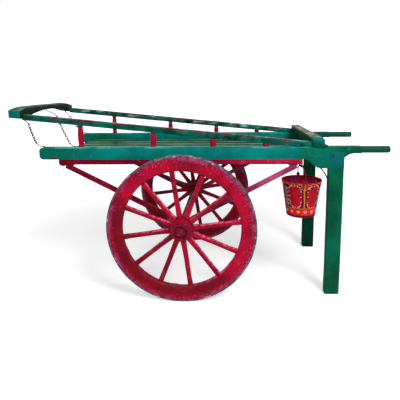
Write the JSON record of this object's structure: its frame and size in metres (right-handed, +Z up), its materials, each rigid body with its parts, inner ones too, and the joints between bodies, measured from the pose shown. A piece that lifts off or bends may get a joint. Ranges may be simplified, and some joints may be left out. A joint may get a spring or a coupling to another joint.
{
  "type": "two-wheeled hand barrow",
  "caption": "Wooden two-wheeled hand barrow with spoked wheels, a railed bed, prop legs and handles, and a painted bucket hung under one side.",
  "frame": {"origin": "centre of the bounding box, on the floor", "axes": "+X towards the handles, Y across the barrow parallel to the axle, +Z up"},
  "size_m": [2.526, 1.236, 1.3109],
  "materials": {
    "green_leg": "old green gloss paint on timber, worn",
    "green_beam": "old teal-green gloss paint on timber, worn at the edges",
    "green_rail": "old green paint on timber with red on the upper edge",
    "green_bar": "dark green paint on timber, worn to bare wood on top",
    "deck_timber": "faded grey-green painted boards",
    "red_timber": "crimson gloss paint on timber",
    "red_wheel": "thick lumpy crimson gloss paint on timber, chipped",
    "red_iron": "crimson gloss paint on forged iron",
    "axle_iron": "dark red paint on forged iron",
    "tyre_iron": "worn dark iron hoop",
    "chain_iron": "dark weathered iron",
    "bucket_paint": "red gloss paint with hand-painted ornament"
  },
  "bodies": {
    "root": {"leg_left": "green_leg", "leg_right": "green_leg", "beam_left": "green_beam", "beam_right": "green_beam", "sill_left": "red_timber", "sill_right": "red_timber", "axle_stay_left": "red_iron", "axle_stay_right": "red_iron", "axle": "axle_iron", "axle_nut_left": "red_iron", "axle_nut_right": "red_iron", "bearer_1": "green_rail", "bearer_2": "green_rail", "bearer_3": "green_rail", "bearer_4": "green_rail", "tail_bearer": "green_rail", "deck_boards": "deck_timber", "tail_bar": "green_bar", "front_bar": "green_bar", "rail_left": "green_rail", "rail_right": "green_rail", "spindles_left": "red_timber", "spindles_right": "red_timber", "leg_stay_left": "chain_iron", "leg_stay_right": "chain_iron", "chain_left": "chain_iron", "chain_middle": "chain_iron", "chain_right": "chain_iron", "bucket_hook": "chain_iron"},
    "wheel_left": {"nave_left": "red_wheel", "nave_bands_left": "red_iron", "felloes_left": "red_wheel", "tyre_left": "tyre_iron", "spokes_left": "red_wheel"},
    "wheel_right": {"nave_right": "red_wheel", "nave_bands_right": "red_iron", "felloes_right": "red_wheel", "tyre_right": "tyre_iron", "spokes_right": "red_wheel"},
    "bail": {"bucket_bail": "chain_iron"},
    "bucket": {"bucket": "bucket_paint"}
  },
  "joints": [
    {"name": "wheel_left_turn", "type": "hinge", "parent": "root", "child": "wheel_left", "pos_m": [-0.103, -0.54, 0.5], "axis": [0, 1, 0], "continuous": true},
    {"name": "wheel_right_turn", "type": "hinge", "parent": "root", "child": "wheel_right", "pos_m": [-0.103, 0.54, 0.5], "axis": [0, 1, 0], "continuous": true},
    {"name": "bail_swing", "type": "hinge", "parent": "root", "child": "bail", "pos_m": [0.697, -0.425, 0.902], "axis": [1, 0, 0], "range_deg": [-20, 20]},
    {"name": "bucket_tip", "type": "hinge", "parent": "bail", "child": "bucket", "pos_m": [0.697, -0.425, 0.822], "axis": [0, 1, 0], "range_deg": [-5, 8]}
  ]
}
